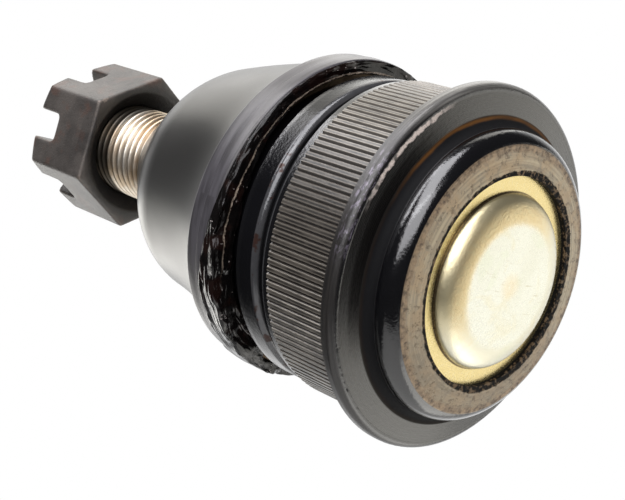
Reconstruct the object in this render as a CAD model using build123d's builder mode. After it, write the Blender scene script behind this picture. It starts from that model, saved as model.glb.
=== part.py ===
"""Press-in suspension ball joint: a knurled, flanged housing that is pressed up into a control arm, with a
ball stud, metal bearings, a cup spring, a crimped-in cover plate, a rubber boot and a slotted hexagon nut.

Millimetres. The origin is the centre of the flange's seat, the face that stops against the control arm.
+Z runs along the stud towards the nut, and +X through one pair of the nut's slots.
"""

import os
from math import asin, cos, degrees, radians, sin, sqrt

from build123d import *

# ---- knurled press band: ridges rolled round the housing, from just above the seat
BAND_R = 24.1  # crest of the ridges, the size that bites into the arm's bore
BAND_TOP = 13.2  # height of the band above the seat
RIDGES = 144
RIDGE_DEPTH = 0.4
RIDGE_CREST = 0.55  # width left flat on each crest
PLAIN_LAND = 0.5  # smooth strip under the ridges, next to the seat

# ---- flange, nose and rolled rim
FLANGE_R = 26.5
FLANGE_T = 2.0  # at its outer edge
FLANGE_RISE = 0.8  # the front face leans out this much towards the nose
FLANGE_EDGE = 1.2  # rounding of the flange's outer front edge
NOSE_R = 20.9  # where the nose leaves the flange
NOSE_FILLET = 1.4
NOSE_BULGE = 0.65  # how far the nose's side bows out from a straight cone
RIM_R = 19.0
RIM_DEPTH = 7.2  # from the seat down to the rim's outer edge
RIM_CROWN = 0.4  # the rolled lip stands lower than the rim's outer edge by this much
LIP_OVERLAP = 1.8  # how far the rolled lip reaches over the cover plate
LIP_T = 0.85

# ---- above the band: plain ring, groove, collar and neck
RING_INSET = 0.3  # the plain ring's radius is less than the crests' by this much
RING_T = 1.2
GROOVE_R = 22.4
GROOVE_W = 1.7
COLLAR_R = 23.6
COLLAR_T = 4.0
COLLAR_EDGE = 1.0
NECK_R = 20.9
NECK_TOP = 28.5
NECK_CHAMFER = 0.8

# ---- ball, bearings and spring inside the housing
BALL_R = 14.0
BALL_FLAT_DEPTH = 1.4  # ground off the ball's underside
BALL_CLEARANCE = 0.05
BEARING_WALL = 1.95  # of the upper bearing, at the ball's middle
BEARING_CLEARANCE = 0.05
CUP_CLEARANCE = 0.15
SEAT_ABOVE_CENTRE = 6.5  # top of the upper bearing
SEAT_SKIRT = 4.5  # upper bearing below the ball's centre
SEAT_OPENING_GAP = 0.3  # housing shoulder stands back from the bearing's mouth
BEARING_GAP = 0.5  # between the two bearings
CUP_FLOOR = 1.9  # lower bearing under the ball's lowest point
CUP_HOLE_R = 3.5
TILT_DEG = 20.0  # how far the stud leans each way
TILT_ROOM = 1.2  # left between the leaning stud and the housing's mouth
SPRING_SIDE_GAP = 2.0
SPRING_HOLE_R = 6.0
SPRING_T = 0.8
SPRING_RISE = 1.2  # height of the cone, which with the plates under it sets where the ball sits
SPRING_GAP = 0.05

# ---- cover plate, held by the rolled lip
COVER_T = 2.2
COVER_LEDGE = 0.8  # the plate's rim is this much wider than the bore, and rests on the step
COVER_CLEARANCE = 0.1
DOME_R = 12.6
DOME_RISE = 2.8
DOME_SHOULDER_W = 4.6  # the dome's rounded shoulder comes in this far before the nearly flat top
DOME_CROWN = 0.15  # rise of that top
DOME_SHEET = 1.5

# ---- stud above the ball
STUD_NECK_R = 8.2
FLARE_START = 32.0
TAPER_BASE = 36.0
TAPER_BASE_R = 9.6
TAPER_TOP = 59.0
TAPER_ON_DIAMETER = 1 / 8
THREAD_R = 8.0
THREAD_START = 60.6
THREAD_RELIEF_R = 7.2
STUD_END = 84.0
STUD_END_CHAMFER = 1.0
COTTER_HOLE_R = 1.8
COTTER_FROM_END = 6.0

# ---- slotted hexagon nut, run part of the way on
NUT_BASE = 74.0
NUT_H = 16.3
NUT_FLATS = 24.0
NUT_THREAD_CLEARANCE = 0.05
NUT_SINK_R = 10.9
NUT_SINK_DEPTH = 2.6
NUT_CROWN_R = 11.7
NUT_CROWN_SLOPE = 0.625  # the crown falls this much for each millimetre out beyond NUT_CROWN_R
SLOT_W = 5.0
SLOT_DEPTH = 6.0
SLOT_CORNER = 0.9

# ---- rubber boot
BOOT_MOUTH = 24.6  # underside of the boot's rim
BOOT_RIM_WALL = 2.0  # rubber outside the clamp ring
BOOT_RIM_T = 4.9
BOOT_RIM_BAND = 2.3  # height of the wider strip at the bottom of the rim
BOOT_RIM_STEP = 0.25
BOOT_STEP = 1.3  # the bell stands in from the rim by this much
BOOT_WALL = 2.2
BOOT_SHOULDER_R = 19.2
BOOT_SHOULDER = 47.5
BOOT_CONE_R = 14.5
BOOT_CONE = 55.4
BELL_FLARE = ((0.4, 0.25), (0.7, 0.6))  # share of the way in and up at the flared side's two guide points
BELL_TURN = ((0.2, 0.45), (0.55, 0.68))  # the same for the round shoulder that follows
BELL_LAG = 0.4  # the inner skin's shoulder sits lower than the outer one's, as a share of the wall
BOOT_TIP_R = 9.7
BOOT_TIP = 62.4
BOOT_STUD_GAP = 0.5  # boot's small end round the thread
BOOT_NECK_GAP = 0.3

# ---- split ring in the boot's rim, ring in its tip, bead of sealing compound under the rim
CLAMP_W = 2.2
CLAMP_T = 2.3
CLAMP_LIFT = 0.3
CLAMP_NECK_GAP = 0.1
CLAMP_CHAMFER = 0.6
CLAMP_SPLIT = 1.6
CLAMP_SPLIT_AT = -83.0  # degrees round from +X
TIP_RING_BASE = 57.6
TIP_RING_T = 2.0
TIP_RING_W = 1.4
TIP_RING_GAP = 0.3
POCKET_CLEARANCE = 0.1
COMPOUND_INSET = 0.3  # inside the boot's rim
COMPOUND_W = 2.6
COMPOUND_T = 0.8

# ---- heights and radii that follow
edge_face = -FLANGE_T
flange_face = edge_face - FLANGE_RISE
rim_edge = -RIM_DEPTH
lip_face = rim_edge - RIM_CROWN
cover_face = lip_face + LIP_T
cover_back = cover_face + COVER_T
groove_base = BAND_TOP + RING_T
collar_base = groove_base + GROOVE_W
collar_top = collar_base + COLLAR_T
ring_r = BAND_R - RING_INSET
race_r = BALL_R + BALL_CLEARANCE
ball_flat = BALL_R - BALL_FLAT_DEPTH
bore_r = race_r + BEARING_WALL
spring_r = bore_r - SPRING_SIDE_GAP
cover_r = bore_r + COVER_LEDGE
lip_r = cover_r - LIP_OVERLAP
spring_base = cover_back + SPRING_GAP
spring_top = spring_base + SPRING_T + SPRING_RISE
cup_floor = spring_top + SPRING_GAP
ball_height = cup_floor + CUP_FLOOR + race_r
shoulder = ball_height + SEAT_ABOVE_CENTRE
seat_opening_r = sqrt(race_r**2 - SEAT_ABOVE_CENTRE**2)
tilt = radians(TILT_DEG)
neck_above_ball = NECK_TOP - ball_height
mouth_r = (STUD_NECK_R + TILT_ROOM + neck_above_ball * sin(tilt)) / cos(tilt)
band_root_r = BAND_R - RIDGE_DEPTH
clamp_in_r = NECK_R + CLAMP_NECK_GAP
clamp_r = clamp_in_r + CLAMP_W
clamp_pocket_r = clamp_r + POCKET_CLEARANCE
boot_rim_r = clamp_pocket_r + BOOT_RIM_WALL

# Housing: one turned profile, then the ridges as a band round it.
with BuildPart() as housing:
    with BuildSketch(Plane.XZ):
        with BuildLine():
            flange_line = Polyline(
                (FLANGE_R, edge_face + FLANGE_EDGE),
                (FLANGE_R, 0),
                (BAND_R, 0),
                (BAND_R, PLAIN_LAND),
                (band_root_r - RIDGE_DEPTH, PLAIN_LAND),
                (band_root_r - RIDGE_DEPTH, BAND_TOP),
                (ring_r, BAND_TOP),
                (ring_r, groove_base),
                (GROOVE_R, groove_base),
                (GROOVE_R, collar_base),
                (COLLAR_R - COLLAR_EDGE, collar_base),
            )
            RadiusArc(flange_line @ 1, (COLLAR_R, collar_base + COLLAR_EDGE), -COLLAR_EDGE)
            upper_line = Polyline(
                (COLLAR_R, collar_base + COLLAR_EDGE),
                (COLLAR_R, collar_top),
                (NECK_R, collar_top),
                (NECK_R, NECK_TOP - NECK_CHAMFER),
                (NECK_R - NECK_CHAMFER, NECK_TOP),
                (mouth_r, NECK_TOP),
                (seat_opening_r + SEAT_OPENING_GAP, shoulder),
                (bore_r, shoulder),
                (bore_r, cover_back),
                (cover_r + COVER_CLEARANCE, cover_back),
                (cover_r + COVER_CLEARANCE, cover_face),
                (lip_r, cover_face),
                (lip_r, lip_face),
                (lip_r + LIP_T, lip_face),
                (RIM_R, rim_edge),
            )
            nose_top = (NOSE_R, flange_face - NOSE_FILLET)
            SagittaArc(upper_line @ 1, nose_top, -NOSE_BULGE)
            RadiusArc(nose_top, (NOSE_R + NOSE_FILLET, flange_face), NOSE_FILLET)
            face_line = Line((NOSE_R + NOSE_FILLET, flange_face), (FLANGE_R - FLANGE_EDGE, edge_face))
            RadiusArc(face_line @ 1, flange_line @ 0, -FLANGE_EDGE)
        make_face()
    revolve(axis=Axis.Z)

    pitch = 2 * BAND_R * sin(radians(180 / RIDGES))
    groove_half = (pitch - RIDGE_CREST) / 2
    with BuildSketch(Plane.XY.offset(PLAIN_LAND)):
        Circle(BAND_R)
        with PolarLocations(BAND_R, RIDGES):
            Polygon(
                (-RIDGE_DEPTH, 0),
                (0, groove_half),
                (RIDGE_DEPTH, 2 * groove_half),
                (RIDGE_DEPTH, -2 * groove_half),
                (0, -groove_half),
                align=None,
                mode=Mode.SUBTRACT,
            )
        Circle(band_root_r - 2 * RIDGE_DEPTH, mode=Mode.SUBTRACT)
    extrude(amount=BAND_TOP - PLAIN_LAND)

# Upper bearing: a sintered race that the ball is pushed up into.
bearing_top = shoulder - BEARING_CLEARANCE
skirt_base = ball_height - SEAT_SKIRT
race_angle = degrees(asin((bearing_top - ball_height) / race_r))
with BuildPart() as upper_bearing:
    with BuildSketch(Plane.XZ):
        with BuildLine():
            race = CenterArc((0, ball_height), race_r, 0, race_angle)
            Polyline(
                race @ 0,
                (race_r, skirt_base),
                (bore_r - BEARING_CLEARANCE, skirt_base),
                (bore_r - BEARING_CLEARANCE, bearing_top),
                race @ 1,
            )
        make_face()
    revolve(axis=Axis.Z)

# Lower bearing: the cup that the spring presses up against the ball, with a grease hole.
cup_top = skirt_base - BEARING_GAP
cup_outer_r = bore_r - CUP_CLEARANCE
with BuildPart() as lower_bearing:
    with Locations((0, 0, cup_floor)):
        Cylinder(cup_outer_r, cup_top - cup_floor, align=(Align.CENTER, Align.CENTER, Align.MIN))
    chamfer(lower_bearing.faces().sort_by(Axis.Z)[0].edges(), CUP_FLOOR / 2)
    with Locations((0, 0, ball_height)):
        Sphere(race_r, mode=Mode.SUBTRACT)
    Cylinder(CUP_HOLE_R, 4 * BALL_R, mode=Mode.SUBTRACT)

# Cup spring (a coned washer) between the lower bearing and the cover plate.
with BuildPart() as preload_spring:
    with BuildSketch(Plane.XZ):
        with BuildLine():
            Polyline(
                (spring_r, spring_base),
                (spring_r, spring_base + SPRING_T),
                (SPRING_HOLE_R, spring_top),
                (SPRING_HOLE_R, spring_top - SPRING_T),
                close=True,
            )
        make_face()
    revolve(axis=Axis.Z)

# Cover plate: a pressed disc with a dome that bulges out through the rolled lip.
dome_peak = cover_face - DOME_RISE
dome_top = dome_peak + DOME_CROWN
dome_shoulder_r = DOME_R - DOME_SHOULDER_W
with BuildPart() as cover_plate:
    with BuildSketch(Plane.XZ):
        with BuildLine():
            dome_side = Bezier(
                (DOME_R, cover_face),
                (DOME_R, cover_face - DOME_RISE / 2),
                (DOME_R - DOME_SHOULDER_W / 3, dome_top),
                (dome_shoulder_r, dome_top),
            )
            Bezier(dome_side @ 1, (dome_shoulder_r / 2, dome_peak), (0, dome_peak))
            Polyline(
                (0, dome_peak),
                (0, dome_peak + DOME_SHEET),
                (dome_shoulder_r, dome_top + DOME_SHEET),
                (DOME_R - DOME_SHEET, cover_back - DOME_SHEET / 2),
                (DOME_R - DOME_SHEET / 2, cover_back),
                (cover_r, cover_back),
                (cover_r, cover_face),
                (DOME_R, cover_face),
            )
        make_face()
    revolve(axis=Axis.Z)

# Ball stud: ball, neck, 1:8 taper for the knuckle, thread at its major diameter and a cotter hole.
taper_top_r = TAPER_BASE_R - (TAPER_TOP - TAPER_BASE) * TAPER_ON_DIAMETER / 2
neck_meets_ball = ball_height + sqrt(BALL_R**2 - STUD_NECK_R**2)
flat_r = sqrt(BALL_R**2 - ball_flat**2)
with BuildPart() as ball_stud:
    with BuildSketch(Plane.XZ):
        with BuildLine():
            ThreePointArc(
                (flat_r, ball_height - ball_flat), (BALL_R, ball_height), (STUD_NECK_R, neck_meets_ball)
            )
            Polyline(
                (STUD_NECK_R, neck_meets_ball),
                (STUD_NECK_R, FLARE_START),
                (TAPER_BASE_R, TAPER_BASE),
                (taper_top_r, TAPER_TOP),
                (THREAD_RELIEF_R, TAPER_TOP),
                (THREAD_RELIEF_R, THREAD_START),
                (THREAD_R, THREAD_START),
                (THREAD_R, STUD_END - STUD_END_CHAMFER),
                (THREAD_R - STUD_END_CHAMFER, STUD_END),
                (0, STUD_END),
                (0, ball_height - ball_flat),
                (flat_r, ball_height - ball_flat),
            )
        make_face()
    revolve(axis=Axis.Z)
    with BuildSketch(Plane.YZ):
        with Locations((0, STUD_END - COTTER_FROM_END)):
            Circle(COTTER_HOLE_R)
    extrude(amount=2 * THREAD_R, both=True, mode=Mode.SUBTRACT)

# Slotted hexagon nut: chamfered crown, six slots with rounded floors, deep countersink at the bearing face.
nut_top = NUT_BASE + NUT_H
nut_bore_r = THREAD_R + NUT_THREAD_CLEARANCE
with BuildPart() as castle_nut:
    with BuildSketch(Plane.XY.offset(NUT_BASE)):
        RegularPolygon(NUT_FLATS / 2, 6, major_radius=False, rotation=30)
        Circle(nut_bore_r, mode=Mode.SUBTRACT)
    extrude(amount=NUT_H)
    with BuildSketch(Plane.XZ):
        with BuildLine():
            Polyline(
                (NUT_CROWN_R, nut_top),
                (NUT_FLATS, nut_top),
                (NUT_FLATS, nut_top - NUT_CROWN_SLOPE * (NUT_FLATS - NUT_CROWN_R)),
                close=True,
            )
        make_face()
        with BuildLine():
            Polyline(
                (nut_bore_r, NUT_BASE),
                (NUT_SINK_R, NUT_BASE),
                (nut_bore_r, NUT_BASE + NUT_SINK_DEPTH),
                close=True,
            )
        make_face()
    revolve(axis=Axis.Z, mode=Mode.SUBTRACT)
    for turn in range(3):
        across = Plane(origin=(0, 0, nut_top), x_dir=(0, 1, 0), z_dir=(1, 0, 0)).rotated((0, 0, 60 * turn))
        with BuildSketch(across) as slot:
            Rectangle(SLOT_W, 2 * SLOT_DEPTH)
            fillet(slot.vertices(), SLOT_CORNER)
        extrude(amount=NUT_FLATS, both=True, mode=Mode.SUBTRACT)

# Boot: a bell of even wall, with a thick rim round the housing's neck and a tight tip round the stud.
rim_top = BOOT_MOUTH + BOOT_RIM_T
bell_r = boot_rim_r - BOOT_STEP
clamp_base = BOOT_MOUTH + CLAMP_LIFT
clamp_pocket_top = clamp_base + CLAMP_T + POCKET_CLEARANCE
tip_pocket_base = TIP_RING_BASE - POCKET_CLEARANCE
tip_pocket_top = TIP_RING_BASE + TIP_RING_T + POCKET_CLEARANCE
tip_ring_in_r = taper_top_r + TIP_RING_GAP
tip_pocket_r = tip_ring_in_r + TIP_RING_W + POCKET_CLEARANCE
tip_hole_r = THREAD_R + BOOT_STUD_GAP


def bell_curve(inset):
    """The bell's flared side and round shoulder, moved in by inset, as control points from rim to cone."""
    foot = (bell_r - inset, rim_top)
    top = (BOOT_SHOULDER_R - inset, BOOT_SHOULDER)
    cone = (BOOT_CONE_R - inset, BOOT_CONE - BELL_LAG * inset)
    side = [(foot[0] - a * (foot[0] - top[0]), foot[1] + b * (top[1] - foot[1])) for a, b in BELL_FLARE]
    turn_in = [(top[0] - a * (top[0] - cone[0]), top[1] + b * (cone[1] - top[1])) for a, b in BELL_TURN]
    return [foot, *side, top], [top, *turn_in, cone]


with BuildPart() as dust_boot:
    with BuildSketch(Plane.XZ):
        with BuildLine():
            rim_outside = Polyline(
                (clamp_pocket_r, BOOT_MOUTH),
                (boot_rim_r, BOOT_MOUTH),
                (boot_rim_r, BOOT_MOUTH + BOOT_RIM_BAND),
                (boot_rim_r - BOOT_RIM_STEP, BOOT_MOUTH + BOOT_RIM_BAND),
                (boot_rim_r - BOOT_RIM_STEP, rim_top),
                (bell_r, rim_top),
            )
            outer_side, outer_turn = bell_curve(0)
            Bezier(*outer_side)
            Bezier(*outer_turn)
            tip_outside = Polyline(
                (BOOT_CONE_R, BOOT_CONE),
                (BOOT_TIP_R, BOOT_TIP),
                (tip_hole_r, BOOT_TIP),
                (tip_hole_r, tip_pocket_top),
                (tip_pocket_r, tip_pocket_top),
                (tip_pocket_r, tip_pocket_base),
                (tip_hole_r, tip_pocket_base),
                (tip_hole_r, tip_pocket_base - BOOT_WALL / 2),
                (BOOT_CONE_R - BOOT_WALL, BOOT_CONE - BELL_LAG * BOOT_WALL),
            )
            inner_side, inner_turn = bell_curve(BOOT_WALL)
            Bezier(*inner_turn)
            Bezier(*inner_side)
            Polyline(
                (bell_r - BOOT_WALL, rim_top),
                (NECK_R + BOOT_NECK_GAP, rim_top),
                (NECK_R + BOOT_NECK_GAP, clamp_pocket_top),
                (clamp_pocket_r, clamp_pocket_top),
                (clamp_pocket_r, BOOT_MOUTH),
            )
        make_face()
    revolve(axis=Axis.Z)

# Split steel ring that grips the neck inside the boot's rim.
with BuildPart() as boot_clamp_ring:
    with BuildSketch(Plane.XY.offset(clamp_base)):
        Circle(clamp_r)
        Circle(clamp_in_r, mode=Mode.SUBTRACT)
    extrude(amount=CLAMP_T)
    inner_edges = boot_clamp_ring.faces().sort_by(Axis.Z)[0].edges().sort_by(SortBy.RADIUS)
    chamfer(inner_edges[0], CLAMP_CHAMFER)
    with BuildSketch(Plane.XY.offset(clamp_base).rotated((0, 0, CLAMP_SPLIT_AT))):
        with Locations((clamp_r, 0)):
            Rectangle(clamp_r, CLAMP_SPLIT)
    extrude(amount=CLAMP_T, mode=Mode.SUBTRACT)

# Ring moulded into the boot's tip, which keeps the tip round on the stud's taper.
with BuildPart() as boot_stud_ring:
    with BuildSketch(Plane.XY.offset(TIP_RING_BASE)):
        Circle(tip_ring_in_r + TIP_RING_W)
        Circle(tip_ring_in_r, mode=Mode.SUBTRACT)
    extrude(amount=TIP_RING_T)

# Bead of sealing compound squeezed out under the boot's rim.
bead_top = BOOT_MOUTH - POCKET_CLEARANCE
bead_corner = COMPOUND_T / 3
bead_r = boot_rim_r - COMPOUND_INSET
bead_in_r = bead_r - COMPOUND_W
with BuildPart() as sealing_bead:
    with BuildSketch(Plane.XZ):
        with BuildLine():
            Polyline(
                (bead_in_r, bead_top),
                (bead_r, bead_top),
                (bead_r, bead_top - COMPOUND_T + bead_corner),
                (bead_r - bead_corner, bead_top - COMPOUND_T),
                (bead_in_r + bead_corner, bead_top - COMPOUND_T),
                (bead_in_r, bead_top - COMPOUND_T + bead_corner),
                close=True,
            )
        make_face()
    revolve(axis=Axis.Z)

pieces = {
    "housing": housing,
    "upper_bearing": upper_bearing,
    "lower_bearing": lower_bearing,
    "preload_spring": preload_spring,
    "cover_plate": cover_plate,
    "ball_stud": ball_stud,
    "castle_nut": castle_nut,
    "dust_boot": dust_boot,
    "boot_clamp_ring": boot_clamp_ring,
    "boot_stud_ring": boot_stud_ring,
    "sealing_bead": sealing_bead,
}
os.makedirs("parts", exist_ok=True)
for label, piece in pieces.items():
    piece.part.label = label
    export_step(piece.part, f"parts/{label}.step")
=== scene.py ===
"""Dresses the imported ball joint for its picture: camera, studio, and the looks of each piece.

Everything is in metres in the row frame. Outlines are written in millimetres and scaled once, by MM.
"""

import math

import bmesh
import bpy
from mathutils import Matrix, Vector, noise


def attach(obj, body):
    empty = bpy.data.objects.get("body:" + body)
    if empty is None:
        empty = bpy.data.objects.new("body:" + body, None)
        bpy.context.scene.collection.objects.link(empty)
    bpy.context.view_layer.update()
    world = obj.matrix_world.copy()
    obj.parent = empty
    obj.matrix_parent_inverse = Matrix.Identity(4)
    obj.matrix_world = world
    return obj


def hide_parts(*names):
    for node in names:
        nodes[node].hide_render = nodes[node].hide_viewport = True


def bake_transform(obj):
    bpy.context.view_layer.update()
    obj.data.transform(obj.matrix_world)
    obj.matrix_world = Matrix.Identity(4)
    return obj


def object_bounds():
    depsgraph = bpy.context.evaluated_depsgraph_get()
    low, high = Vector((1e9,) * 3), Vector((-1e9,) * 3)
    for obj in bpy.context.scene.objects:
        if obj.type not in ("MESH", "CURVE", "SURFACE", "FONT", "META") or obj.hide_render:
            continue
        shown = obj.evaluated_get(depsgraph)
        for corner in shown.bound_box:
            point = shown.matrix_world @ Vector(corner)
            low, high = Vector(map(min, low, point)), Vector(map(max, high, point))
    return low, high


MM = 0.001
SEED = 7


# ------------------------------------------------------------------ mesh helpers
def rounded(corners, steps):
    """A closed outline through corners of (radius, height, rounding), with each corner rounded."""
    outline = []
    for i, (r, z, size) in enumerate(corners):
        here = Vector((r, z))
        if not size:
            outline.append(here)
            continue
        before = (Vector(corners[i - 1][:2]) - here).normalized()
        after = (Vector(corners[(i + 1) % len(corners)][:2]) - here).normalized()
        half = before.angle(after) / 2
        reach = size / math.tan(half)
        centre = here + (before + after).normalized() * size / math.sin(half)
        first, last = here + before * reach - centre, here + after * reach - centre
        for k in range(steps + 1):
            outline.append(centre + first.lerp(last, k / steps).normalized() * size)
    return outline


def bezier(points, steps):
    """Points along a cubic, without its first one."""
    a, b, c, d = (Vector(p) for p in points)
    out = []
    for k in range(1, steps + 1):
        t = k / steps
        u = 1 - t
        out.append(a * u**3 + b * 3 * u * u * t + c * 3 * u * t * t + d * t**3)
    return out


def resampled(outline, step):
    """A closed outline with long runs divided, so that a bend or a bump has points to move."""
    out = []
    for a, b in zip(outline, outline[1:] + outline[:1]):
        parts = max(1, round((b - a).length / step))
        out += [a.lerp(b, k / parts) for k in range(parts)]
    return out


def eased(value, low, high):
    """0 below low, 1 above high, and smooth between."""
    t = min(1.0, max(0.0, (value - low) / (high - low)))
    return t * t * (3 - 2 * t)


def new_object(name, mesh):
    thing = bpy.data.objects.new(name, mesh)
    bpy.context.scene.collection.objects.link(thing)
    return thing


def lathe(name, outline, turns, shape):
    """A closed outline of (radius, height) turned round the Z axis. shape(point, angle) places each point."""
    bm = bmesh.new()
    rings = []
    for k in range(turns):
        angle = 2 * math.pi * k / turns
        ring = []
        for p in outline:
            point = Vector((p[0] * math.cos(angle), p[0] * math.sin(angle), p[1]))
            ring.append(bm.verts.new(shape(point, angle) * MM))
        rings.append(ring)
    for k, ring in enumerate(rings):
        following = rings[(k + 1) % turns]
        for i in range(len(ring)):
            j = (i + 1) % len(ring)
            bm.faces.new((ring[i], following[i], following[j], ring[j]))
    bmesh.ops.remove_doubles(bm, verts=bm.verts, dist=1e-7)
    bmesh.ops.recalc_face_normals(bm, faces=bm.faces)
    mesh = bpy.data.meshes.new(name)
    bm.to_mesh(mesh)
    bm.free()
    mesh.shade_smooth()
    return new_object(name, mesh)


def sharpen(thing, degrees):
    """Keeps edges steeper than this crisp under smooth shading."""
    thing.data.set_sharp_from_angle(angle=math.radians(degrees))


# ------------------------------------------------------------------ material helpers
def srgb(*values):
    """A colour as it looks on screen, 0 to 255, in Blender's linear numbers."""
    out = []
    for v in values:
        v /= 255
        out.append(v / 12.92 if v <= 0.04045 else ((v + 0.055) / 1.055) ** 2.4)
    return (*out, 1.0)


class Look:
    """One material's node tree. Lengths in it are millimetres in the row frame."""

    def __init__(self, name):
        self.material = bpy.data.materials.new(name)
        self.material.use_nodes = True
        self.tree = self.material.node_tree
        self.tree.nodes.clear()
        coords = self.node("ShaderNodeTexCoord")
        scaled = self.node("ShaderNodeVectorMath", operation="SCALE")
        self.link(coords.outputs["Object"], scaled.inputs[0])
        scaled.inputs["Scale"].default_value = 1 / MM
        self.place = scaled.outputs[0]
        split = self.node("ShaderNodeSeparateXYZ")
        self.link(self.place, split.inputs[0])
        self.x, self.y, self.z = split.outputs
        across = self.calc("ADD", self.calc("POWER", self.x, 2), self.calc("POWER", self.y, 2))
        self.r = self.calc("SQRT", across)
        self.angle = self.calc("ARCTAN2", self.y, self.x)

    def node(self, kind, **settings):
        made = self.tree.nodes.new(kind)
        for key, value in settings.items():
            setattr(made, key, value)
        return made

    def link(self, source, target):
        self.tree.links.new(source, target)

    def feed(self, socket, value):
        if isinstance(value, bpy.types.NodeSocket):
            self.link(value, socket)
        else:
            socket.default_value = value

    def calc(self, operation, a, b=0.0, c=0.0):
        made = self.node("ShaderNodeMath", operation=operation)
        for socket, value in zip(made.inputs, (a, b, c)):
            self.feed(socket, value)
        return made.outputs[0]

    def noise(self, scale, detail=3.0, rough=0.55, warp=0.0, place=None):
        """Soft noise, about 0.3 to 0.7. scale is in features per millimetre."""
        made = self.node("ShaderNodeTexNoise")
        self.link(place or self.place, made.inputs["Vector"])
        for key, value in (("Scale", scale), ("Detail", detail), ("Roughness", rough), ("Distortion", warp)):
            made.inputs[key].default_value = value
        return made.outputs["Fac"]

    def stretched(self, x, y, z):
        """The place, stretched by these factors, for grain that runs one way."""
        made = self.node("ShaderNodeVectorMath", operation="MULTIPLY")
        self.link(self.place, made.inputs[0])
        made.inputs[1].default_value = (x, y, z)
        return made.outputs[0]

    def turned(self, around, along, out):
        """Coordinates wrapped round the Z axis: angle, height and radius, each times its factor."""
        made = self.node("ShaderNodeCombineXYZ")
        self.link(self.calc("MULTIPLY", self.angle, around), made.inputs[0])
        self.link(self.calc("MULTIPLY", self.z, along), made.inputs[1])
        self.link(self.calc("MULTIPLY", self.r, out), made.inputs[2])
        return made.outputs[0]

    def span(self, value, low, high, a=0.0, b=1.0):
        """a below low, b above high, and smooth between."""
        made = self.node("ShaderNodeMapRange", interpolation_type="SMOOTHSTEP")
        for socket, v in zip(made.inputs, (value, low, high, a, b)):
            self.feed(socket, v)
        return made.outputs[0]

    def within(self, value, low, high, soft):
        """1 between low and high, with soft edges."""
        return self.calc(
            "MULTIPLY",
            self.span(value, low - soft, low + soft),
            self.span(value, high - soft, high + soft, 1.0, 0.0),
        )

    def both(self, *masks):
        out = masks[0]
        for mask in masks[1:]:
            out = self.calc("MULTIPLY", out, mask)
        return out

    def either(self, a, b):
        return self.calc("MAXIMUM", a, b)

    def mix(self, factor, a, b):
        made = self.node("ShaderNodeMix", data_type="RGBA")
        self.feed(made.inputs[0], factor)
        self.feed(made.inputs[6], a)
        self.feed(made.inputs[7], b)
        return made.outputs[2]

    def blend(self, factor, a, b):
        """The same for plain numbers."""
        made = self.node("ShaderNodeMix", data_type="FLOAT")
        self.feed(made.inputs[0], factor)
        self.feed(made.inputs[2], a)
        self.feed(made.inputs[3], b)
        return made.outputs[0]

    def bump(self, height, distance, strength):
        """height is 0 to 1, distance the millimetres it stands for."""
        made = self.node("ShaderNodeBump")
        self.feed(made.inputs["Height"], height)
        made.inputs["Distance"].default_value = distance * MM
        made.inputs["Strength"].default_value = strength
        return made.outputs[0]

    def finish(self, colour, roughness, metallic=0.0, normal=None, **sockets):
        surface = self.node("ShaderNodeBsdfPrincipled")
        self.feed(surface.inputs["Base Color"], colour)
        self.feed(surface.inputs["Roughness"], roughness)
        self.feed(surface.inputs["Metallic"], metallic)
        if normal:
            self.link(normal, surface.inputs["Normal"])
        for key, value in sockets.items():
            self.feed(surface.inputs[key.replace("_", " ")], value)
        output = self.node("ShaderNodeOutputMaterial")
        self.link(surface.outputs[0], output.inputs[0])
        return self.material


def dress(thing, material):
    thing.data.materials.clear()
    thing.data.materials.append(material)
    return thing


# ------------------------------------------------------------------ the frame
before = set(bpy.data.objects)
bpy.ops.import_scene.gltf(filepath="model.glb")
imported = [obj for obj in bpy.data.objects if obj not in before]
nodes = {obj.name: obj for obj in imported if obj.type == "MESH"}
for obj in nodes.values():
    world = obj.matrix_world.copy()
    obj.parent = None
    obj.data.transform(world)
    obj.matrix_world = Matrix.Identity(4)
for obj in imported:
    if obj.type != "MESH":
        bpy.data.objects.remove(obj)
cad_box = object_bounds()

# ------------------------------------------------------------------ landmarks of the solids, in mm
FLANGE_R = cad_box[1][0] / MM
FLANGE_FRONT = -2.0  # at its outer edge; the seat is at 0
FACE_SLOPE, FACE_HEIGHT = 0.2667, -8.75  # the front face is a cone: z = FACE_HEIGHT + FACE_SLOPE * r
BAND_R, BAND_TOP, RIDGES = 24.1, 13.2, 144
RING_R, GROOVE_BASE = BAND_R - 0.3, BAND_TOP + 1.2  # a plain ring lies between band and groove
GROOVE_R, COLLAR_BASE = 22.4, GROOVE_BASE + 1.7
COLLAR_R, COLLAR_TOP, NECK_R = 23.6, COLLAR_BASE + 4.0, 20.9
NOSE_R, RIM_R, RIM_Z = 20.9, 19.0, -7.2
LIP_R = 15.0  # inner edge of the rolled lip
DOME_R, MARGIN_Z = 12.6, -6.75  # the cover's dome, and the flat round it
NUT_BASE = 74.0
MOUTH_BASE, MOUTH_STEP, MOUTH_TOP = 24.6, 26.9, 29.5  # the rim at the boot's mouth
MOUTH_R = 25.3
THREAD_R, THREAD_PITCH, THREAD_DEPTH = 8.0, 1.5, 0.92
THREAD_START, THREAD_END, STUD_END = 60.9, 83.2, 84.0
THREAD_FOOT = 60.6  # from here on, the stud's outline has points close enough to carry the thread

DULL_ROUGHNESS = 0.75
ENAMEL_IOR, DULL_IOR = 1.8, 1.25


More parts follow.
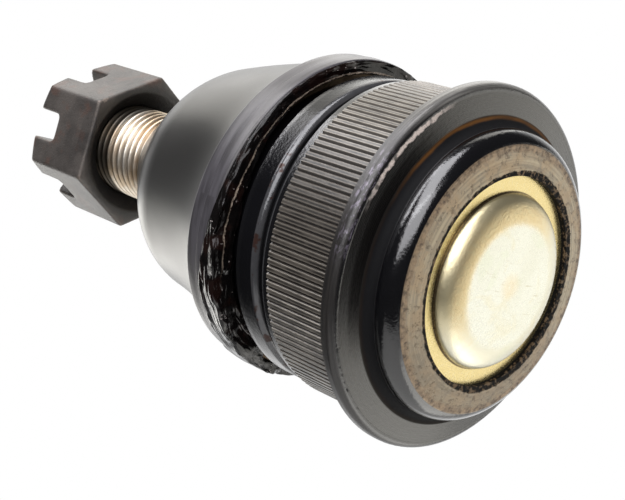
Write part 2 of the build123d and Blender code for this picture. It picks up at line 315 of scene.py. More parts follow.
# ------------------------------------------------------------------ looks
class Coat:
    """A surface's colour, roughness and share of bare metal, changed mask by mask."""

    def __init__(self, look, colour, roughness):
        self.look, self.colour, self.roughness, self.metallic = look, colour, roughness, 0.0

    def paint(self, mask, colour):
        self.colour = self.look.mix(mask, self.colour, colour)

    def roughen(self, mask, roughness):
        self.roughness = self.look.blend(mask, self.roughness, roughness)

    def bare(self, share):
        """At least this share of bare metal."""
        self.metallic = self.look.either(self.metallic, share)


def flange_face(k, coat):
    """Thin enamel over turned steel, greyer and half matt, with painted shade on its far side. Returns the mask of
    that painted shade.
    """
    turning = k.noise(1.0, 3, place=k.turned(1.0, 0.0, 9.0))
    along_cone = k.calc("MULTIPLY_ADD", k.r, -FACE_SLOPE, k.z)
    face = k.both(
        k.within(along_cone, FACE_HEIGHT - 0.07, FACE_HEIGHT + 0.07, 0.04),
        k.within(k.r, NOSE_R + 1.3, FLANGE_R - 1.1, 0.2),
    )
    coat.paint(k.both(face, k.span(turning, 0.3, 0.7, 0.6, 1.0)), srgb(44, 42, 37))
    # painted shade: the face coloured near black on its far side, towards low x
    painted_shade_side = k.both(k.span(k.x, -8.0, -20.0), k.within(k.y, -17.0, 11.0, 5.0), face)
    coat.paint(k.both(painted_shade_side, 0.95), srgb(6, 5, 5))
    coat.roughen(face, k.calc("MULTIPLY_ADD", turning, 0.2, 0.18))
    coat.metallic = k.both(face, 0.08)
    return painted_shade_side


def press_band(k, coat):
    """Dark grey ridges, rubbed on their crests, some with a second fine line, and lighter towards the top as
    painted light.
    """
    band = k.both(k.within(k.z, 0.4, BAND_TOP + 0.1, 0.1), k.span(k.r, BAND_R - 1.3, BAND_R - 0.9))
    crest = k.both(band, k.span(k.r, BAND_R - 0.17, BAND_R - 0.04))
    rubbed_side = k.either(k.span(k.y, -2.0, 14.0), k.span(k.y, -10.0, -18.0))
    wear = k.both(k.span(k.noise(0.35, 4), 0.3, 0.6), rubbed_side)
    ridge = k.calc("FRACT", k.calc("MULTIPLY", k.angle, RIDGES / (2 * math.pi)))
    line = k.within(ridge, 0.36, 0.64, 0.05)
    streaks = k.span(k.noise(1.0, 3, place=k.turned(24.0, 0.25, 0.0)), 0.4, 0.6)
    # painted light: the band coloured lighter towards its top, at low y
    painted_top_light = k.both(k.span(k.y, -8.0, -18.0), 0.25)
    between = k.mix(coat.fine, srgb(30, 27, 25), srgb(60, 55, 50))
    coat.paint(band, k.mix(painted_top_light, between, srgb(110, 106, 98)))
    coat.paint(k.both(crest, k.calc("MULTIPLY_ADD", wear, 0.55, 0.45)), srgb(122, 115, 105))
    coat.paint(k.both(crest, line, k.calc("MULTIPLY_ADD", streaks, 0.4, 0.55)), srgb(26, 24, 22))
    coat.roughen(band, 0.36)
    coat.bare(k.both(crest, 0.3))


def flange_wall(k, coat):
    """The flange's outer wall: dull grey, with a bright line on its front corner, partly knocked bare metal and
    partly painted highlight.
    """
    height_share = k.span(k.y, -14.0, -22.0)
    outer = k.both(
        k.span(k.r, FLANGE_R - 1.0, FLANGE_R - 0.4),
        k.span(k.z, FLANGE_FRONT - 0.1, FLANGE_FRONT + 0.3),
        k.span(k.z, 0.2, 0.0),
    )
    hoops = k.span(k.noise(1.0, 3, place=k.turned(2.6, 4.0, 4.0)), 0.4, 0.62)
    grey = k.mix(height_share, srgb(50, 47, 45), srgb(118, 116, 112))
    coat.paint(k.both(outer, k.calc("MULTIPLY_ADD", hoops, 0.5, 0.45)), grey)
    coat.bare(k.both(outer, 0.4))
    coat.roughen(outer, 0.36)

    # bright line along the front corner on the upper left: knocked bare metal and painted highlight
    corner = k.calc("MULTIPLY_ADD", coat.chips, 1.1, k.r)
    slanting = k.calc("MULTIPLY_ADD", k.x, -0.55, k.y)
    knocked_and_highlit = k.both(
        k.within(corner, FLANGE_R - 1.05, FLANGE_R - 0.55, 0.12),
        k.span(k.z, FLANGE_FRONT + 0.7, FLANGE_FRONT + 0.4),
        k.both(k.span(slanting, 9.0, 3.0), k.span(k.x, -12.5, -18.0)),
    )
    knocked_and_highlit = k.both(knocked_and_highlit, k.span(k.noise(0.5, 4), 0.4, 0.5, 0.15, 1.0))
    coat.paint(k.both(knocked_and_highlit, k.span(coat.grain, 0.3, 0.5, 0.5, 1.0)), srgb(206, 192, 184))
    coat.bare(k.both(knocked_and_highlit, 0.5))
    coat.roughen(knocked_and_highlit, 0.5)

    # painted reflection: lavender patches on the left of the wall and its front corner
    painted_reflection_patch = k.both(
        k.span(k.r, FLANGE_R - 1.2, FLANGE_R - 0.8),
        k.within(k.z, FLANGE_FRONT, FLANGE_FRONT + 1.4, 0.2),
        k.within(k.y, -13.0, 1.0, 2.0),
    )
    strokes = k.noise(1.0, 4, 0.65, place=k.turned(20.0, 2.2, 2.2))
    painted_reflection_patch = k.both(painted_reflection_patch, k.span(k.x, -18.0, -20.0), k.span(strokes, 0.5, 0.62))
    coat.paint(k.both(painted_reflection_patch, 0.5), srgb(128, 120, 134))


def ring_and_collar(k, coat):
    """Grey edges of the plain ring and the collar, partly rubbed metal and partly painted highlight, with spots of
    rust. Returns the rust.
    """
    ring_edge = k.both(
        k.within(k.z, GROOVE_BASE - 0.2, GROOVE_BASE + 0.2, 0.05), k.span(k.r, RING_R - 0.3, RING_R - 0.05)
    )
    collar_edge = k.both(
        k.within(k.z, COLLAR_BASE + 0.05, COLLAR_BASE + 0.9, 0.12), k.span(k.r, COLLAR_R - 0.85, COLLAR_R - 0.6)
    )
    # rubbed metal and painted highlight along the ring's and the collar's edges
    edges = k.either(k.both(ring_edge, 0.8), collar_edge)
    coat.paint(k.both(edges, k.calc("MULTIPLY_ADD", coat.chips, 0.5, 0.45)), srgb(78, 78, 80))
    coat.bare(k.both(edges, 0.3))
    rust = k.both(collar_edge, k.span(k.noise(0.5, 3), 0.58, 0.64))
    coat.paint(k.both(rust, 0.8), k.mix(coat.fine, srgb(20, 14, 12), srgb(70, 40, 28)))
    return rust


def nose_foot(k, coat):
    """Brown line where the flange's face turns down into the nose."""
    wandering = k.calc("MULTIPLY_ADD", coat.broad, 0.6, k.r)
    foot = k.both(k.within(wandering, NOSE_R + 1.25, NOSE_R + 1.7, 0.2), k.within(k.z, -3.3, -2.4, 0.3))
    rusty_side = k.span(k.calc("MULTIPLY_ADD", k.x, 0.35, k.y), -13.0, -22.0, 0.04, 0.75)
    coat.paint(k.both(foot, k.span(k.noise(0.12, 2), 0.35, 0.55, 0.6, 1.0), rusty_side), srgb(100, 64, 24))


def rolled_rim(k, coat):
    """Bare steel, browner and pitted along its outer edge, dark and ragged along its inner one, where black paint
    and painted shade lie together.

    Returns that inner edge, and the height for the whole housing's bump.
    """
    rim = k.both(k.span(k.z, RIM_Z + 0.18, RIM_Z + 0.04), k.within(k.r, LIP_R - 1.0, RIM_R + 0.25, 0.08))
    pits = k.span(k.noise(1.3, 6, 0.7), 0.34, 0.64)
    patches = k.span(k.noise(0.3, 4, 0.6), 0.4, 0.62)
    rings = k.noise(1.0, 4, place=k.turned(1.6, 0.0, 3.0))
    bare = k.mix(k.span(rings, 0.3, 0.7), srgb(130, 119, 101), srgb(172, 159, 134))
    bare = k.mix(k.both(patches, 0.6), bare, srgb(160, 136, 104))
    bare = k.mix(k.both(k.span(k.noise(0.45, 3, 0.6, warp=0.8), 0.56, 0.62), 0.35), bare, srgb(104, 98, 88))
    bare = k.mix(k.both(k.span(k.y, 0.0, 14.0), 0.45), bare, srgb(100, 88, 72))
    edge_line = k.calc("MULTIPLY_ADD", coat.chips, 1.6, k.r)
    browned = k.mix(pits, srgb(70, 52, 38), srgb(140, 118, 92))
    bare = k.mix(k.both(k.span(edge_line, RIM_R - 0.3, RIM_R + 0.4), 0.8), bare, browned)
    bare = k.mix(k.both(k.span(pits, 0.25, 0.05), 0.6), bare, srgb(74, 60, 46))
    # black paint and painted shade: the ragged inner edge, wider towards high x
    ragged = k.calc("MULTIPLY_ADD", coat.chips, -0.9, k.r)
    ragged = k.calc("MULTIPLY_ADD", k.span(k.x, -8.0, 4.0), -0.45, ragged)
    ragged = k.calc("MULTIPLY_ADD", coat.grain, -0.5, ragged)
    black_and_shaded_edge = k.span(ragged, LIP_R - 0.05, LIP_R - 0.2)
    bare = k.mix(black_and_shaded_edge, bare, k.mix(k.span(pits, 0.6, 0.9), srgb(8, 7, 6), srgb(96, 80, 62)))
    coat.paint(rim, bare)
    coat.metallic = k.blend(rim, coat.metallic, 0.55)
    coat.roughen(rim, k.calc("MULTIPLY_ADD", pits, -0.1, 0.5))
    pitted = k.calc("MULTIPLY_ADD", pits, 0.35, k.both(rings, 0.2))
    return k.both(rim, black_and_shaded_edge), k.blend(rim, k.calc("MULTIPLY", coat.fine, 0.3), pitted)


def housing_look():
    """Black enamel over forged, turned and knurled steel, with a bare rolled rim."""
    k = Look("black_housing")
    fine, broad = k.noise(2.2, 4), k.noise(0.16, 3)
    coat = Coat(k, k.mix(broad, srgb(7, 7, 9), srgb(14, 14, 16)), k.calc("MULTIPLY_ADD", fine, 0.08, 0.1))
    coat.fine, coat.broad, coat.grain, coat.chips = fine, broad, k.noise(7.0, 2), k.noise(0.8, 5, 0.6)

    painted_shade_side = flange_face(k, coat)
    press_band(k, coat)
    flange_wall(k, coat)
    rust = ring_and_collar(k, coat)
    nose_foot(k, coat)
    black_and_shaded_edge, height = rolled_rim(k, coat)

    # these places are matt, and their low IOR makes them hardly shine
    fillet = k.both(k.within(k.z, -4.15, -2.6, 0.2), k.span(k.r, NOSE_R + 1.6, NOSE_R + 1.35))
    groove = k.both(
        k.within(k.z, GROOVE_BASE, COLLAR_BASE + 0.1, 0.1), k.span(k.r, GROOVE_R + 0.5, GROOVE_R + 0.2)
    )
    lip_wall = k.both(k.span(k.r, LIP_R + 0.25, LIP_R + 0.05), k.span(k.z, -5.0, -5.4))
    dark_lip = k.either(lip_wall, black_and_shaded_edge)
    dull = k.either(k.either(fillet, groove), dark_lip)
    coat.roughen(dull, DULL_ROUGHNESS)
    coat.metallic = k.blend(dark_lip, coat.metallic, 0.0)

    # these keep their roughness and only shine less
    shaded_face = k.both(painted_shade_side, k.span(k.r, FLANGE_R - 2.2, FLANGE_R - 2.9), 0.8)
    collar_side = k.both(
        k.within(k.z, COLLAR_BASE + 0.8, COLLAR_TOP - 0.7, 0.25), k.span(k.r, COLLAR_R - 0.4, COLLAR_R - 0.2)
    )
    neck = k.both(k.span(k.z, COLLAR_TOP - 0.3, COLLAR_TOP), k.span(k.r, NECK_R + 1.5, NECK_R + 1.2))
    dull = k.either(dull, shaded_face)
    dull = k.either(dull, k.either(k.both(rust, 0.8), k.either(k.both(collar_side, 0.75), neck)))
    bump = k.bump(height, 0.12, 0.8)
    return k.finish(coat.colour, coat.roughness, coat.metallic, bump, IOR=k.blend(dull, ENAMEL_IOR, DULL_IOR))


def cover_look():
    """Yellow zinc: cream on the dome, golden on its shoulder and margin."""
    k = Look("zinc_yellow")
    broad = k.noise(0.09, 3, 0.5, 0.6)
    tint = k.noise(0.22, 3, 0.5, 1.0)
    fine = k.noise(3.0, 5, 0.65)
    grain = k.noise(1.4, 5, 0.7)

    # cream over the top of the dome
    colour = k.mix(k.span(broad, 0.3, 0.7), srgb(218, 218, 204), srgb(224, 225, 214))
    colour = k.mix(k.both(k.span(tint, 0.52, 0.7), 0.35), colour, srgb(220, 212, 180))
    colour = k.mix(k.both(k.span(tint, 0.42, 0.28), 0.3), colour, srgb(212, 218, 194))
    colour = k.mix(k.both(k.span(k.r, 2.6, 0.6), grain, 0.6), colour, srgb(228, 198, 140))

    # golden on the shoulder, more so on one side, partly the plating's own tone and partly painted reflection
    shoulder = k.both(k.span(k.r, DOME_R - 4.3, DOME_R - 3.0), k.span(k.z, MARGIN_Z - 0.25, MARGIN_Z - 0.55))
    toned_and_reflecting_side = k.span(k.calc("MULTIPLY_ADD", k.y, 0.8, k.x), 4.0, -8.0)
    colour = k.mix(k.both(shoulder, k.calc("MULTIPLY_ADD", toned_and_reflecting_side, 0.6, 0.2)), colour, srgb(228, 212, 164))
    stain_and_reflection = k.both(k.within(k.r, DOME_R - 3.9, DOME_R - 1.2, 0.7), toned_and_reflecting_side)
    colour = k.mix(k.both(stain_and_reflection, k.span(grain, 0.3, 0.6, 0.4, 1.0), 0.6), colour, srgb(226, 200, 148))

    # flat margin, and the brown line where the dome rises from it
    margin = k.both(k.span(k.r, DOME_R - 0.1, DOME_R + 0.15), k.span(k.z, MARGIN_Z - 0.35, MARGIN_Z - 0.15))
    colour = k.mix(margin, colour, k.mix(grain, srgb(206, 184, 124), srgb(232, 218, 166)))
    line = k.both(
        k.within(k.r, DOME_R - 0.15, DOME_R + 0.15, 0.08), k.span(k.z, MARGIN_Z - 0.55, MARGIN_Z - 0.35)
    )
    colour = k.mix(k.both(line, 0.85), colour, srgb(74, 52, 24))

    scratch = k.span(k.noise(0.9, 5, 0.7, place=k.stretched(0.3, 3.0, 1.0)), 0.6, 0.7)
    colour = k.mix(k.both(scratch, 0.3), colour, srgb(176, 160, 118))
    roughness = k.calc("MULTIPLY_ADD", grain, 0.22, k.calc("MULTIPLY_ADD", shoulder, 0.08, 0.15))
    height = k.calc("MULTIPLY_ADD", stain_and_reflection, k.both(fine, 2.5), k.calc("ADD", grain, fine))
    return k.finish(colour, roughness, 0.92, k.bump(height, 0.035, 0.8))


def steel_look(name, base, worn, rough=0.3, metallic=1.0):
    """Plain steel in two tones, for the spring and the rings."""
    k = Look(name)
    broad = k.noise(0.25, 4)
    fine = k.noise(3.5, 4)
    colour = k.mix(k.span(broad, 0.35, 0.65), base, worn)
    return k.finish(colour, k.calc("MULTIPLY_ADD", fine, 0.2, rough - 0.1), metallic, k.bump(fine, 0.03, 0.5))


def stud_look():
    """Bright turned steel, with painted shade in the thread's valleys and just inside the nut."""
    k = Look("stud_steel")
    broad = k.noise(0.2, 4)
    fine = k.noise(4.0, 4)
    lines = k.noise(1.0, 3, place=k.turned(0.6, 6.0, 0.0))
    colour = k.mix(k.span(broad, 0.35, 0.65), srgb(236, 228, 214), srgb(214, 192, 164))
    # painted shade in the thread's valleys
    thread = k.both(k.span(k.z, THREAD_FOOT - 0.4, THREAD_FOOT + 0.2), k.span(k.r, THREAD_R - 0.1, THREAD_R - 0.7))
    colour = k.mix(k.both(thread, 0.5), colour, srgb(110, 92, 74))
    # painted shade where the stud goes into the nut's countersink
    wavy = k.calc("MULTIPLY_ADD", lines, 1.2, k.z)
    shade_in_nut = k.within(wavy, NUT_BASE - 0.2, NUT_BASE + 5.0, 0.6)
    colour = k.mix(k.both(shade_in_nut, 0.9), colour, srgb(26, 22, 18))
    roughness = k.calc("MULTIPLY_ADD", lines, 0.25, 0.26)
    return k.finish(colour, roughness, 1.0, k.bump(fine, 0.02, 0.5))


def nut_look():
    """Dark phosphate, brown in blotches, lighter on its edges as rubbed metal and painted highlight, and with
    painted shade in its countersink.
    """
    k = Look("phosphate_nut")
    broad = k.noise(0.14, 4, 0.6)
    fine = k.noise(2.6, 5, 0.65)
    speck = k.span(k.noise(5.0, 3, 0.6), 0.64, 0.74)
    colour = k.mix(k.span(broad, 0.35, 0.65), srgb(50, 46, 43), srgb(70, 65, 61))
    blotch = k.span(k.noise(0.3, 4, 0.6), 0.52, 0.64)
    colour = k.mix(k.both(blotch, 0.5), colour, srgb(78, 54, 44))
    colour = k.mix(k.both(speck, 0.5), colour, srgb(150, 138, 128))
    # rubbed metal and painted highlight on the nut's sharp edges
    edge = k.span(k.node("ShaderNodeNewGeometry").outputs["Pointiness"], 0.515, 0.56)
    colour = k.mix(k.both(edge, k.span(fine, 0.4, 0.6, 0.3, 1.0), 0.7), colour, srgb(132, 118, 106))
    # painted shade in the countersink round the stud
    inside = k.span(k.calc("MULTIPLY_ADD", broad, 1.5, k.r), 13.6, 11.9)
    shaded_sink = k.both(k.span(k.z, NUT_BASE + 3.2, NUT_BASE + 2.8), inside)
    colour = k.mix(k.both(shaded_sink, 0.9), colour, srgb(14, 12, 11))
    return k.finish(colour, k.calc("MULTIPLY_ADD", fine, 0.25, 0.34), 0.1, k.bump(fine, 0.09, 0.8), IOR=1.6)


def rubber_look():
    """Black rubber, with a grey band on the rim that is partly dust and partly painted reflection."""
    k = Look("boot_rubber")
    broad = k.noise(0.12, 3)
    fine = k.noise(3.5, 4)
    colour = k.mix(broad, srgb(12, 12, 12), srgb(24, 22, 21))
    # grey band on the rim: dust and painted reflection
    band = k.both(k.span(k.r, MOUTH_R - 1.0, MOUTH_R - 0.6), k.span(k.z, MOUTH_TOP + 3.0, MOUTH_TOP + 1.5))
    dust_and_reflection = k.span(k.noise(1.0, 3, place=k.turned(3.0, 1.2, 0.0)), 0.35, 0.65)
    colour = k.mix(k.both(band, k.calc("MULTIPLY_ADD", dust_and_reflection, 0.5, 0.5)), colour, srgb(68, 66, 70))
    roughness = k.calc("MULTIPLY_ADD", broad, 0.12, 0.26)
    warm = (1.0, 0.98, 0.93, 1.0)
    return k.finish(colour, roughness, 0.0, k.bump(fine, 0.02, 0.5), IOR=1.55, Specular_Tint=warm)


def compound_look():
    """Glossy black compound in folds, with pale flecks painted as glints, and a thin painted highlight where it
    meets the rim.
    """
    k = Look("sealing_compound")
    fine = k.noise(2.0, 4, 0.6)
    folds = k.noise(1.0, 1.5, 0.4, 0.6, place=k.turned(4.0, 0.8, 0.8))
    colour = k.mix(fine, srgb(5, 5, 6), srgb(16, 13, 12))
    colour = k.mix(k.both(k.span(k.noise(0.25, 2), 0.5, 0.62), 0.6), colour, srgb(28, 16, 13))
    # painted glints: rare pale flecks
    painted_glint = k.both(k.span(k.noise(1.7, 3, 0.5), 0.65, 0.69), k.span(k.noise(0.3, 2), 0.5, 0.58))
    colour = k.mix(k.both(painted_glint, 0.8), colour, srgb(168, 160, 156))
    wavy = k.calc("MULTIPLY_ADD", fine, 0.5, k.r)
    # painted highlight: a thin pale line along the inner edge, on one side only
    painted_edge_highlight = k.both(k.within(wavy, 23.75, 24.0, 0.06), k.span(k.z, MOUTH_BASE - 0.2, MOUTH_BASE - 0.6))
    painted_edge_highlight = k.both(painted_edge_highlight, k.span(k.calc("MULTIPLY_ADD", k.x, 0.6, k.y), 0.0, -10.0))
    colour = k.mix(k.both(painted_edge_highlight, k.span(fine, 0.4, 0.6, 0.3, 1.0)), colour, srgb(150, 136, 122))
    height = k.calc("MULTIPLY_ADD", fine, 0.05, folds)
    return k.finish(colour, k.calc("MULTIPLY_ADD", fine, 0.16, 0.05), 0.0, k.bump(height, 0.8, 1.0), IOR=1.38)


def sintered_look():
    """Grainy grey metal of the bearings."""
    k = Look("sintered_metal")
    grains = k.noise(6.0, 4, 0.7)
    colour = k.mix(grains, srgb(88, 86, 82), srgb(132, 128, 120))
    return k.finish(colour, 0.55, 0.6, k.bump(grains, 0.05, 0.7))


looks = {
    "black_housing": housing_look(),
    "zinc_yellow": cover_look(),
    "stud_steel": stud_look(),
    "phosphate_nut": nut_look(),
    "boot_rubber": rubber_look(),
    "sealing_compound": compound_look(),
    "sintered_metal": sintered_look(),
    "spring_steel": steel_look("spring_steel", srgb(120, 118, 116), srgb(150, 146, 140)),
    "ring_steel": steel_look("ring_steel", srgb(92, 78, 62), srgb(128, 110, 88), 0.4, 0.8),
}
for node, material in (
    ("housing", "black_housing"),
    ("cover_plate", "zinc_yellow"),
    ("castle_nut", "phosphate_nut"),
    ("upper_bearing", "sintered_metal"),
    ("lower_bearing", "sintered_metal"),
    ("preload_spring", "spring_steel"),
    ("boot_clamp_ring", "ring_steel"),
    ("boot_stud_ring", "ring_steel"),
    ("ball_stud", "stud_steel"),
):
    dress(nodes[node], looks[material])


# ------------------------------------------------------------------ boot
ASKEW = Vector((math.radians(4.6), math.radians(-1.42), 0.0))
ASKEW_ABOUT = Vector((0.0, 0.0, 20.85))
NOISE_SHIFT = Vector((31.7, 12.3, 7.9)) * SEED


def askew(point):
    """The boot's mouth sits a little crooked on the neck, while its tip stays round the stud."""
    share = 1.0 - eased(point.z, 33.0, 56.0)
    return ASKEW_ABOUT + Matrix.Rotation(ASKEW.length * share, 3, ASKEW) @ (point - ASKEW_ABOUT)


def boot():
    """The bell of rubber, with the stepped rim at its mouth and the tip that grips the stud."""
    outer = bezier([(24.0, MOUTH_TOP), (22.08, 34.0), (20.64, 40.3), (19.2, 47.5)], 18)
    outer += bezier([(19.2, 47.5), (18.26, 51.05), (16.6, 52.87), (14.5, 55.4)], 12)
    inner = bezier([(12.3, 54.5), (14.4, 52.0), (16.06, 50.2), (17.0, 47.5)], 10)
    inner += bezier([(17.0, 47.5), (18.4, 40.3), (19.9, 34.0), (21.8, MOUTH_TOP + 0.4)], 14)
    rim = rounded(
        [
            (23.3, MOUTH_BASE + 0.15, 0.1),
            (MOUTH_R, MOUTH_BASE, 0.45),
            (MOUTH_R, MOUTH_STEP, 0.12),
            (25.05, MOUTH_STEP, 0.05),
            (25.05, MOUTH_TOP, 0.5),
            (24.0, MOUTH_TOP, 0.0),
        ],
        5,
    )[1:]
    tip = [Vector(p) for p in ((9.9, 62.0), (9.6, 62.35), (9.2, 62.4), (8.7, 62.4), (8.5, 62.25), (8.5, 59.7))]
    tip += [Vector(p) for p in ((10.0, 59.7), (10.0, 57.5), (8.5, 57.5), (8.5, 56.4))]
    foot = [Vector(p) for p in ((21.2, MOUTH_TOP), (21.2, 27.3), (23.3, 27.3))]
    outline = resampled(rim + outer + tip + inner + foot, 0.9)
    return lathe("boot", outline, turns=192, shape=lambda point, angle: askew(point))


def compound():
    """Sealing compound squeezed out under the rim: thick and lumpy on one side, a thin smear on the other."""
    outline = rounded(
        [
            (23.4, MOUTH_BASE + 0.1, 0.0),
            (25.15, MOUTH_BASE + 0.1, 0.15),
            (25.2, MOUTH_BASE - 0.45, 0.25),
            (23.35, MOUTH_BASE - 0.5, 0.25),
        ],
        4,
    )

    def lumpy(point, angle):
        degrees = math.degrees(angle) % 360
        thick = eased(degrees, 62, 105) * (1 - eased(degrees, 172, 232))
        out = Vector((math.cos(angle), math.sin(angle), 0.0))
        r, z = point.xy.length, point.z
        inward = eased(25.2 - r, 0.0, 1.85)
        hanging = eased(MOUTH_BASE + 0.1 - z, 0.0, 0.5)
        along = Vector((math.cos(angle) * 5.5, math.sin(angle) * 5.5, 0.8 * (r + z)))
        lump = 0.5 + 0.5 * noise.fractal(along + NOISE_SHIFT, 1.0, 2.0, 3)
        fine = noise.fractal(along * 2.6 - NOISE_SHIFT, 1.0, 2.0, 2)
        r -= inward * (0.25 + 1.7 * thick)
        r += (1 - inward) * hanging * (thick * (1.1 * lump - 0.3) + 0.1 * fine)
        creeping_side = eased(degrees, 80, 110) * (1 - eased(degrees, 150, 190))
        creep = eased(r, 24.5, 25.1) * (1 - hanging) * creeping_side
        r += creep * max(0.0, 25.42 + 0.2 * lump - r)
        z += creep * (0.5 + 1.7 * lump)
        z -= hanging * (thick * (0.35 + 1.3 * lump) + 0.12 * fine - 0.25 * (1 - thick))
        return askew(out * r + Vector((0, 0, z)))

    return lathe("compound", resampled(outline, 0.22), turns=420, shape=lumpy)


bell = boot()
sharpen(bell, 40)
dress(bell, looks["boot_rubber"])
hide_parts("dust_boot")
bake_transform(bell)

seal = compound()
dress(seal, looks["sealing_compound"])
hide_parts("sealing_bead")
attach(seal, "press_housing")

# ------------------------------------------------------------------ stud
BALL_R, BALL_Z = 14.0, 13.5
BALL_FROM, BALL_TO = math.radians(-64.158), math.radians(54.15)  # from the flat under the ball to its neck


def stud():
    """Ball, neck, taper and thread in one turned piece. The thread is a real helix."""
    outline = [Vector((0.01, 0.9)), Vector((6.1, 0.9))]
    for k in range(41):
        angle = BALL_FROM + k * (BALL_TO - BALL_FROM) / 40
        outline.append(Vector((BALL_R * math.cos(angle), BALL_Z + BALL_R * math.sin(angle))))
    outline += [Vector(p) for p in ((8.2, 25.1), (8.2, 32.0), (8.35, 32.6), (9.45, 35.5), (9.6, 36.2))]
    outline += [Vector(p) for p in ((8.163, 58.9), (8.05, 59.0), (7.2, 59.1), (7.1, 59.9), (7.1, 60.5))]
    threaded_length = STUD_END - THREAD_FOOT
    steps = round(threaded_length / 0.125)
    outline += [Vector((THREAD_R, THREAD_FOOT + threaded_length * k / steps)) for k in range(steps + 1)]
    outline.append(Vector((0.01, STUD_END)))

    def threaded(point, angle):
        r, z = point.xy.length, point.z
        if z < THREAD_FOOT - 0.05 or r < 7.5:
            return point
        turn = z / THREAD_PITCH - angle / (2 * math.pi)
        across = abs(turn - math.floor(turn) - 0.5) * 2
        cut = THREAD_DEPTH * eased(across, 0.12, 0.95)
        cut = max(cut * (1 - eased(z, THREAD_END, STUD_END)), z - (STUD_END - 0.9))
        cut = max(cut, (THREAD_START - z) * 2.6)
        out = Vector((math.cos(angle), math.sin(angle), 0.0))
        return out * (THREAD_R - min(cut, 1.2)) + Vector((0, 0, z))

    return lathe("stud", outline, turns=96, shape=threaded)


shank = stud()
sharpen(shank, 50)
dress(shank, looks["stud_steel"])
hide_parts("ball_stud")
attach(shank, "stud")

# ------------------------------------------------------------------ worn edges of the nut
VOXEL = 0.00028  # metres
for kind, name, settings in (
    ("WELD", "join", {"merge_threshold": 0.00001}),
    ("REMESH", "even mesh", {"mode": "VOXEL", "voxel_size": VOXEL, "use_smooth_shade": True}),
    ("SMOOTH", "worn edges", {"factor": 0.5, "iterations": 9}),
):
    modifier = nodes["castle_nut"].modifiers.new(name, kind)
    for key, value in settings.items():
        setattr(modifier, key, value)

# ------------------------------------------------------------------ camera
AXIS_YAW, AXIS_PITCH, ROLL = math.radians(45.32), math.radians(15.53), math.radians(7.5)
SEAT_SEEN_AT = Vector((20.306, 2.452, 186.818))  # seat centre in the camera's own axes, mm: right, down, away
FOCAL_MM, SENSOR_MM = 76.506, 36.0

axis = Vector(
    (
        math.sin(AXIS_YAW) * math.cos(AXIS_PITCH),
        math.sin(AXIS_PITCH),
        -math.cos(AXIS_YAW) * math.cos(AXIS_PITCH),
    )
)
level = axis.cross(Vector((0, 1, 0))).normalized()
fall = -axis.cross(level)
row_x = math.cos(ROLL) * level + math.sin(ROLL) * fall
row_y = -math.sin(ROLL) * level + math.cos(ROLL) * fall
to_row = Matrix((row_x, row_y, -axis))

eye = to_row @ -SEAT_SEEN_AT
right, up, back = to_row @ Vector((1, 0, 0)), to_row @ Vector((0, -1, 0)), to_row @ Vector((0, 0, -1))

camera = bpy.data.objects.new("camera", bpy.data.cameras.new("camera"))
bpy.context.scene.collection.objects.link(camera)
camera.data.sensor_width = SENSOR_MM
camera.data.lens = FOCAL_MM
camera.data.clip_start, camera.data.clip_end = 0.01, 10
turn = Matrix((right, up, back)).transposed().to_4x4()
camera.matrix_world = Matrix.Translation(eye * MM) @ turn
bpy.context.scene.camera = camera

# ------------------------------------------------------------------ studio
MIDDLE = Vector((0, 0, 35))


def studio_point(a, b, c):
    """A point that far right, up and towards the camera from the object's middle, in mm."""
    return (MIDDLE + right * a + up * b + back * c) * MM


WARM, COOL = (1.0, 0.975, 0.91), (0.97, 0.965, 1.0)


def softbox(name, spot, along, wide, tall, brightness, tint=WARM):
    """A soft lamp that faces the object, with its width lying along a studio direction.

    brightness is how white it looks in a mirror.
    """
    data = bpy.data.lights.new(name, "AREA")
    data.shape = "RECTANGLE"
    data.size, data.size_y = wide * MM, tall * MM
    data.energy = brightness * math.pi * data.size * data.size_y
    data.color = tint
    thing = bpy.data.objects.new(name, data)
    bpy.context.scene.collection.objects.link(thing)
    place = studio_point(*spot)
    outward = (place - MIDDLE * MM).normalized()
    width = right * along[0] + up * along[1] + back * along[2]
    width = (width - outward * width.dot(outward)).normalized()
    turn = Matrix((width, outward.cross(width), outward)).transposed().to_4x4()
    thing.matrix_world = Matrix.Translation(place) @ turn
    return thing


softbox("ceiling", (-60, 560, -380), (1, 0, 0), 900, 560, 1.6)
softbox("window", (-20, 480, 330), (0.05, 0.57, -0.82), 640, 380, 5.0, COOL)
softbox("front", (0, 150, 540), (1, 0, 0), 560, 350, 3.8, COOL)
softbox("side", (640, -95, -110), (0, 0, 1), 540, 540, 1.35)
softbox("left", (-330, 500, 100), (-0.55, -0.3, 0.55), 540, 260, 6.0, COOL)
softbox("low_left", (-430, -140, -530), (1, 0, -0.8), 360, 300, 2.3)
softbox("under", (290, -600, -60), (1, 0, 0), 820, 600, 1.6)

# ------------------------------------------------------------------ floor
FLOOR_DROP, FLOOR_SIZE = 640, 1100  # below the object's middle, and across, in mm

paving = bmesh.new()
corners = [(a * FLOOR_SIZE / 2, -FLOOR_DROP, b * FLOOR_SIZE / 2) for a, b in ((-1, 1), (1, 1), (1, -1), (-1, -1))]
paving.faces.new([paving.verts.new(studio_point(*corner)) for corner in corners])
floor_mesh = bpy.data.meshes.new("floor")
paving.to_mesh(floor_mesh)
paving.free()
floor = new_object("floor", floor_mesh)
paper = Look("pale_paper")
fibre = paper.noise(0.4, 3)
dress(floor, paper.finish(paper.mix(fibre, srgb(236, 236, 234), srgb(244, 244, 243)), 0.9))

bpy.context.scene.view_settings.view_transform = "Standard"
world = bpy.data.worlds.new("studio")
bpy.context.scene.world = world
world.use_nodes = True
air = world.node_tree
air.nodes.clear()


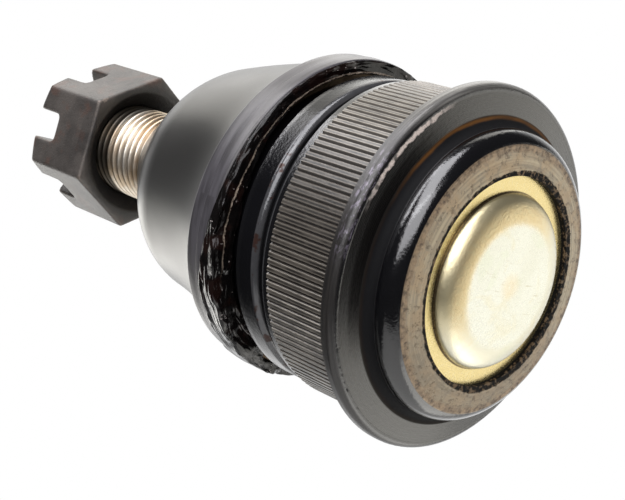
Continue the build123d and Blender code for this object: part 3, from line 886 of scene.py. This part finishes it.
def air_node(kind, inputs=(), **settings):
    made = air.nodes.new(kind)
    for key, value in settings.items():
        setattr(made, key, value)
    for key, value in inputs:
        if isinstance(value, bpy.types.NodeSocket):
            air.links.new(value, made.inputs[key])
        else:
            made.inputs[key].default_value = value
    return made


# The room as mirrors see it: white behind the object, dim on the camera's side, and with a darker card straight
# behind the object. The camera itself sees plain white.
BEHIND, IN_FRONT = 1.4, 0.03
CARD = 0.2
AROUND = 0.3  # what matt surfaces get from all round
toward = air_node("ShaderNodeTexCoord")
facing = air_node(
    "ShaderNodeVectorMath", ((0, toward.outputs["Generated"]), (1, tuple(back))), operation="DOT_PRODUCT"
)
room = air_node(
    "ShaderNodeMapRange",
    (("Value", facing.outputs["Value"]), (1, -0.82), (2, -0.45), (3, BEHIND), (4, IN_FRONT)),
    interpolation_type="SMOOTHSTEP",
)
card = air_node(
    "ShaderNodeMapRange",
    (("Value", facing.outputs["Value"]), (1, -1.0), (2, -0.93), (3, CARD), (4, 1.0)),
    interpolation_type="SMOOTHSTEP",
)
carded = air_node("ShaderNodeMath", ((0, room.outputs[0]), (1, card.outputs[0])), operation="MULTIPLY")
path = air_node("ShaderNodeLightPath")
mirrored = air_node(
    "ShaderNodeMath", ((0, path.outputs["Is Glossy Ray"]), (1, carded.outputs[0])), operation="MULTIPLY"
)
seen = air_node(
    "ShaderNodeMath",
    ((0, path.outputs["Is Camera Ray"]), (1, path.outputs["Is Transmission Ray"])),
    operation="MAXIMUM",
)
shown = air_node("ShaderNodeMath", ((0, seen.outputs[0]), (1, mirrored.outputs[0])), operation="MAXIMUM")
diffused = air_node("ShaderNodeMath", ((0, path.outputs["Is Diffuse Ray"]), (1, AROUND)), operation="MULTIPLY")
strength = air_node("ShaderNodeMath", ((0, shown.outputs[0]), (1, diffused.outputs[0])), operation="MAXIMUM")
shell = air_node("ShaderNodeBackground", (("Color", (1, 1, 1, 1)), ("Strength", strength.outputs[0])))
air_node("ShaderNodeOutputWorld", (("Surface", shell.outputs[0]),))
